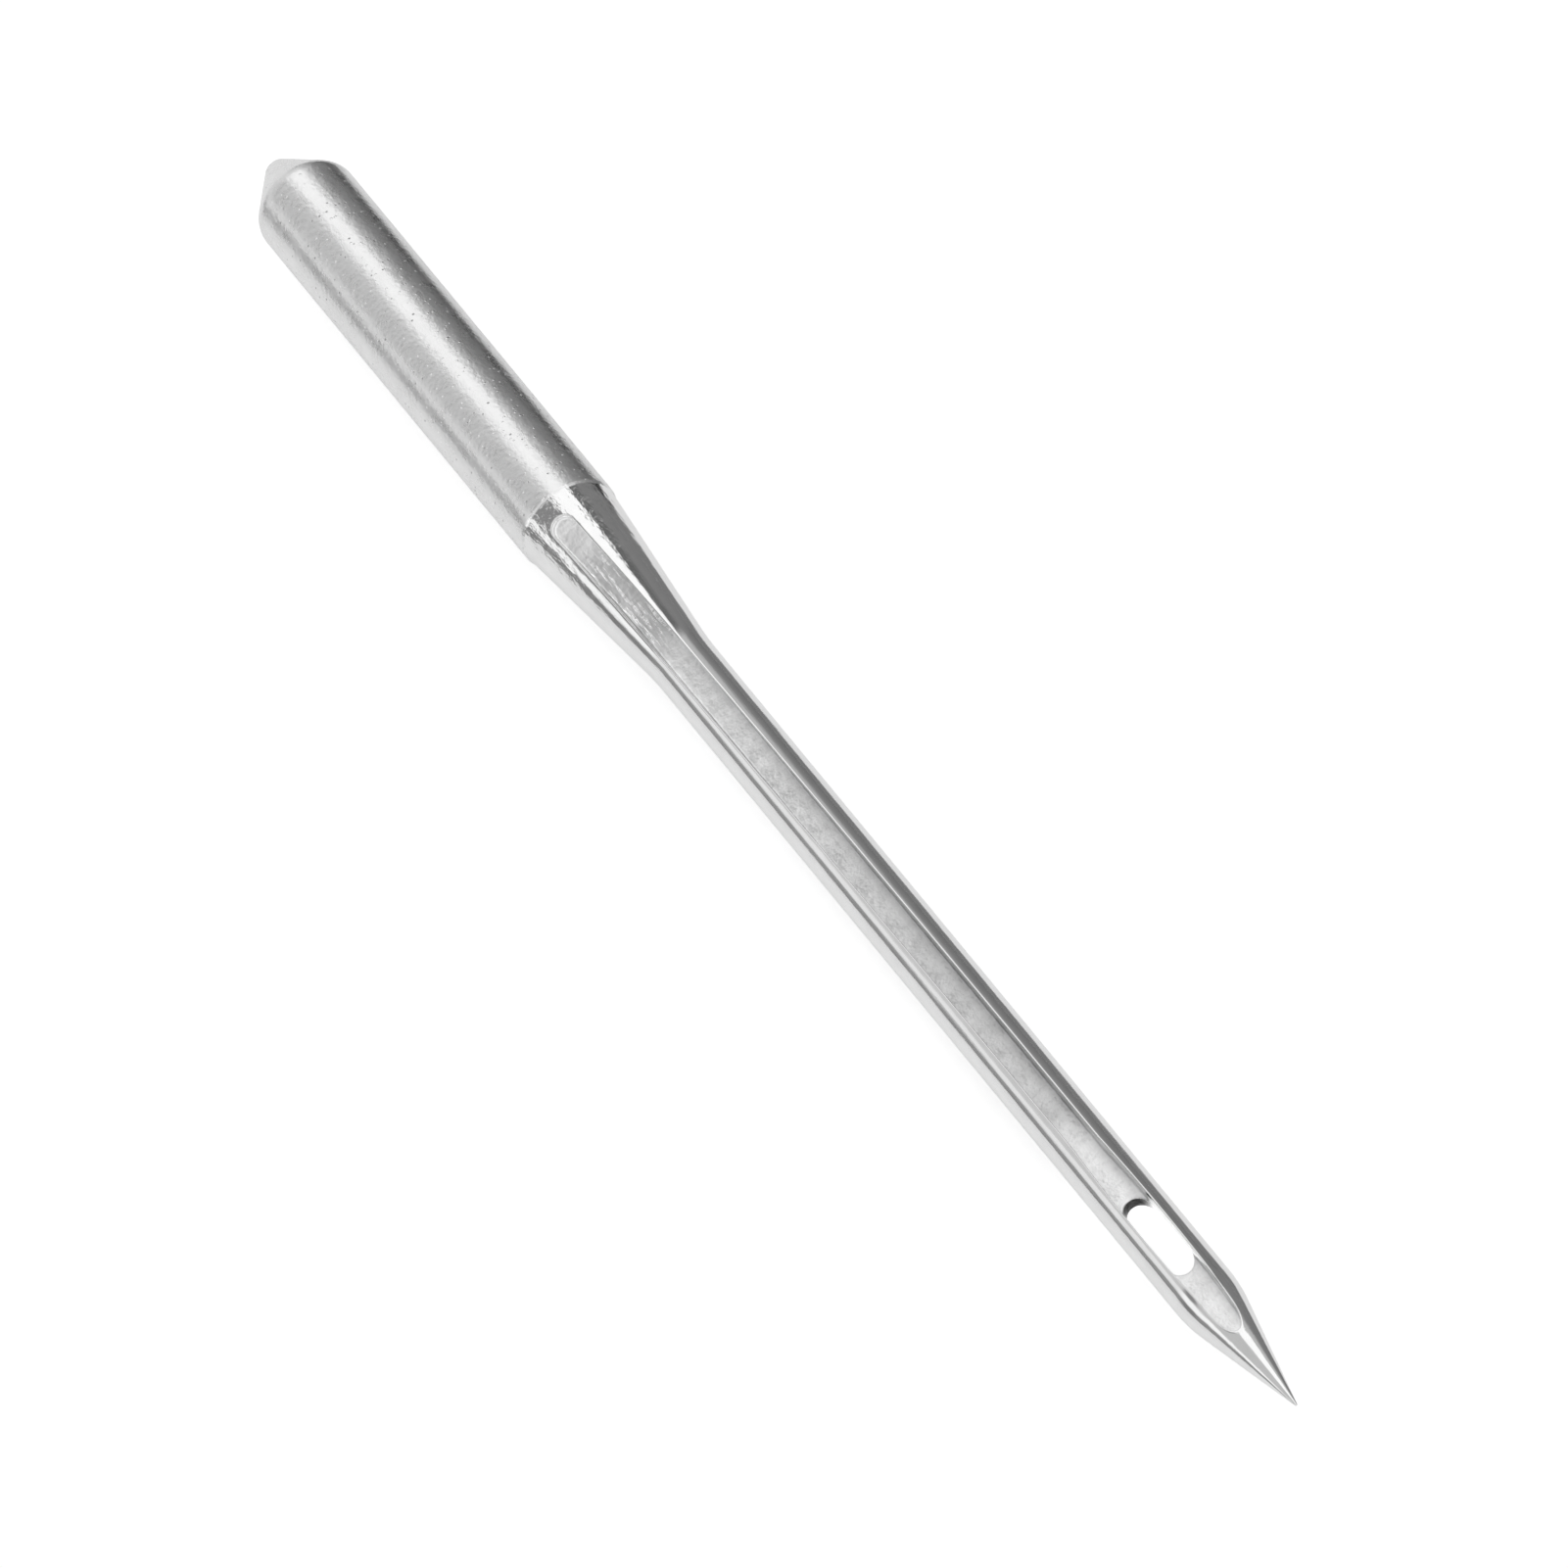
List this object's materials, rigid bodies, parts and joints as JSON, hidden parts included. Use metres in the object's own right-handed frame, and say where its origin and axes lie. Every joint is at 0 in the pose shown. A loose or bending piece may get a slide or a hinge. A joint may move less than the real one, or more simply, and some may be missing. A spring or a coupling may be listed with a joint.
{
  "type": "sewing machine needle",
  "caption": "Round-shank sewing machine needle: thick shank with a coned butt, tapered shoulder, thin grooved blade with a scarf, an eye and a sharp point.",
  "frame": {"origin": "centre of the butt's flat end face", "axes": "+X along the needle from the butt to the point, +Z out of the long groove, -Z out of the scarf"},
  "size_m": [0.0386, 0.002, 0.002],
  "materials": {
    "needle_steel": "plated steel, satin on the shank and in the grooves, mirror-polished on the shoulder, blade and point"
  },
  "bodies": {
    "root": {"needle": "needle_steel"}
  },
  "joints": []
}
